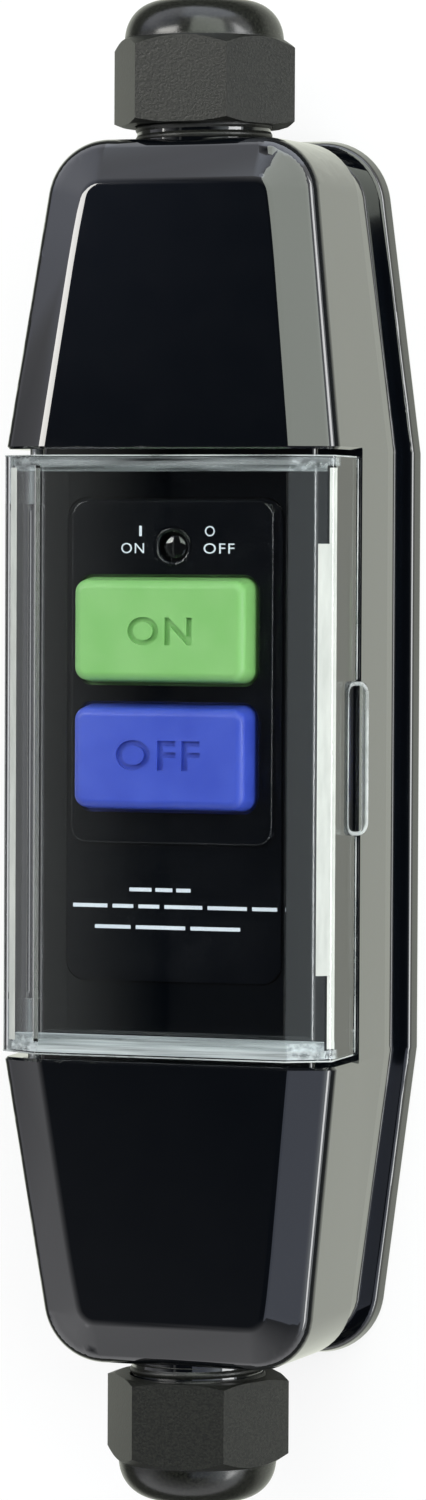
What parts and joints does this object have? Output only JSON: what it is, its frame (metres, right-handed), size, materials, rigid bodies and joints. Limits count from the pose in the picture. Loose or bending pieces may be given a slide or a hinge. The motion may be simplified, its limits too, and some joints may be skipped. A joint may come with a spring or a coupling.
{
  "type": "inline residual current device",
  "caption": "Inline residual current device in a glossy black housing with a clear flip cover over a green reset and a blue test button and a dome nut cable gland at each end.",
  "frame": {"origin": "centre of the flat back face, on the surface that the device lies on", "axes": "+Z out of the front with the buttons, +Y along the cable towards the end beside the reset button, +X to the side where the cover opens"},
  "size_m": [0.0542, 0.221, 0.0426],
  "materials": {
    "housing_black": "high gloss moulded",
    "panel_black": "semi-gloss moulded",
    "seal_rubber": "matt",
    "screw_steel": "zinc plated",
    "cover_clear": "clear polycarbonate",
    "lens_clear": "clear",
    "button_green": "satin moulded",
    "button_blue": "satin moulded",
    "spring_steel": "bright wire",
    "frame_plastic": "fine grain",
    "flag_red": "smooth",
    "contact_brass": "bright",
    "yoke_steel": "plated",
    "coil_copper": "enamelled winding",
    "board_green": "solder mask",
    "ring_blue": "epoxy coat",
    "capacitor_grey": "moulded case",
    "chip_black": "epoxy",
    "resistor_beige": "lacquered",
    "terminal_white": "moulded",
    "wire_brown": "insulated wire",
    "wire_green": "insulated wire",
    "gland_nylon": "fine grain nylon"
  },
  "bodies": {
    "housing": {"front_shell": "housing_black", "rear_shell": "housing_black", "button_panel": "panel_black", "shell_gasket": "seal_rubber", "panel_gasket": "seal_rubber", "case_screws": "screw_steel", "board_screws": "screw_steel", "hinge_pins": "screw_steel", "input_terminal_screws": "screw_steel", "output_terminal_screws": "screw_steel", "indicator_lens": "lens_clear", "reset_spring": "spring_steel", "test_spring": "spring_steel", "plunger_spring": "spring_steel", "contact_spring_left": "spring_steel", "contact_spring_right": "spring_steel", "mechanism_frame": "frame_plastic", "fixed_contacts": "contact_brass", "test_leaf": "contact_brass", "input_terminal_clamps": "contact_brass", "output_terminal_clamps": "contact_brass", "solenoid_yoke": "yoke_steel", "solenoid_coil": "coil_copper", "circuit_board": "board_green", "current_transformer": "ring_blue", "filter_capacitor": "capacitor_grey", "varistor": "ring_blue", "control_chip": "chip_black", "test_resistor": "resistor_beige", "input_terminal_block": "terminal_white", "output_terminal_block": "terminal_white", "line_conductors": "wire_brown", "load_conductors": "wire_brown", "earth_conductor": "wire_green"},
    "cover": {"flip_cover": "cover_clear"},
    "reset": {"reset_button": "button_green"},
    "test": {"test_button": "button_blue"},
    "contacts": {"contact_carrier": "frame_plastic", "moving_contacts": "contact_brass"},
    "flag": {"flag_slider": "frame_plastic", "indicator_flag": "flag_red"},
    "latch": {"latch_plate": "yoke_steel", "solenoid_plunger": "yoke_steel"},
    "top_claw": {"top_gland_claw": "gland_nylon", "top_gland_seal": "seal_rubber"},
    "top_nut": {"top_gland_nut": "gland_nylon"},
    "bottom_claw": {"bottom_gland_claw": "gland_nylon", "bottom_gland_seal": "seal_rubber"},
    "bottom_nut": {"bottom_gland_nut": "gland_nylon"}
  },
  "joints": [
    {"name": "cover_hinge", "type": "hinge", "parent": "housing", "child": "cover", "pos_m": [-0.0235, 0, 0.029], "axis": [0, -1, 0], "range_deg": [0, 105]},
    {"name": "reset_press", "type": "slide", "parent": "housing", "child": "reset", "axis": [0, 0, -1], "range_m": [0, 0.002], "stiffness_N_per_m": 800, "springref_m": -0.001, "deforming": ["reset_spring"]},
    {"name": "test_press", "type": "slide", "parent": "housing", "child": "test", "axis": [0, 0, -1], "range_m": [0, 0.002], "stiffness_N_per_m": 800, "springref_m": -0.001, "deforming": ["test_spring"]},
    {"name": "contact_travel", "type": "slide", "parent": "housing", "child": "contacts", "axis": [0, 0, -1], "range_m": [0, 0.0012], "stiffness_N_per_m": 300, "springref_m": -0.001, "deforming": ["contact_spring_left", "contact_spring_right"]},
    {"name": "flag_slide", "type": "slide", "parent": "housing", "child": "flag", "axis": [1, 0, 0], "range_m": [0, 0.005]},
    {"name": "latch_pull", "type": "slide", "parent": "housing", "child": "latch", "axis": [0, -1, 0], "range_m": [0, 0.003], "stiffness_N_per_m": 150, "springref_m": -0.001, "deforming": ["plunger_spring"]},
    {"name": "top_claw_slide", "type": "slide", "parent": "housing", "child": "top_claw", "axis": [0, 1, 0], "range_m": [0, 0.006]},
    {"name": "top_nut_turn", "type": "hinge", "parent": "top_claw", "child": "top_nut", "pos_m": [0, 0.1, 0.023], "axis": [0, 1, 0], "range_deg": [0, 1440]},
    {"name": "bottom_claw_slide", "type": "slide", "parent": "housing", "child": "bottom_claw", "axis": [0, -1, 0], "range_m": [0, 0.006]},
    {"name": "bottom_nut_turn", "type": "hinge", "parent": "bottom_claw", "child": "bottom_nut", "pos_m": [0, -0.1, 0.023], "axis": [0, -1, 0], "range_deg": [0, 1440]}
  ],
  "couplings": [
    {"joint": "flag_slide", "follows": "contact_travel", "ratio": 4.166},
    {"joint": "top_nut_turn", "follows": "top_claw_slide", "rad_per_m": 4188.7},
    {"joint": "bottom_nut_turn", "follows": "bottom_claw_slide", "rad_per_m": 4188.7}
  ]
}
